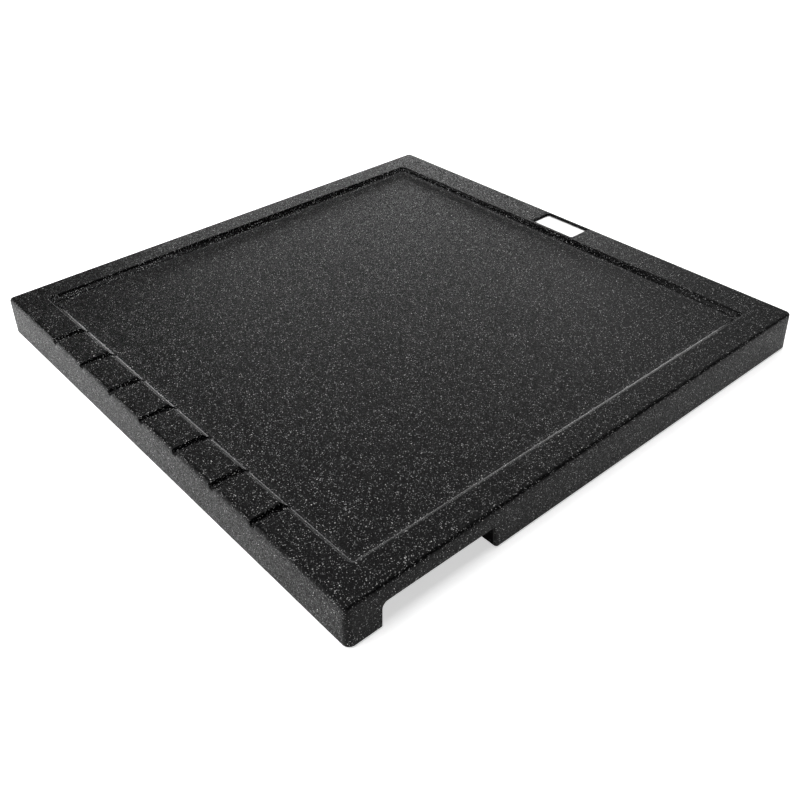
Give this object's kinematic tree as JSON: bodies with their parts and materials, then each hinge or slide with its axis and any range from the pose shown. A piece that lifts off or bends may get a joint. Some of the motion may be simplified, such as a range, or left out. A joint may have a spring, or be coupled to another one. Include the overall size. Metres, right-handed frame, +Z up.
{
  "type": "draining slab",
  "caption": "Square moulded stone-composite draining slab: recessed tray with outlet channels through one rim, a relief underneath that bridges a sink's rim, a blank metal badge and grip pads.",
  "frame": {"origin": "middle of the footprint, on the surface that the pads stand on", "axes": "-X towards the outlet channels and the lip, +X towards the badge, +Y along the outlet side, +Z up"},
  "size_m": [0.429, 0.434, 0.0312],
  "materials": {
    "stone": "matt black quartz and granite composite with fine light grey specks",
    "badge_metal": "bright brushed stainless steel, blank",
    "adhesive": "acrylic bonding film, hidden under the badge",
    "silicone": "dark grey matt silicone"
  },
  "bodies": {
    "root": {"draining_slab": "stone", "badge_plate": "badge_metal", "badge_adhesive": "adhesive", "grip_pad_1": "silicone", "grip_pad_2": "silicone", "grip_pad_3": "silicone", "grip_pad_4": "silicone", "grip_pad_5": "silicone", "grip_pad_6": "silicone"}
  },
  "joints": []
}
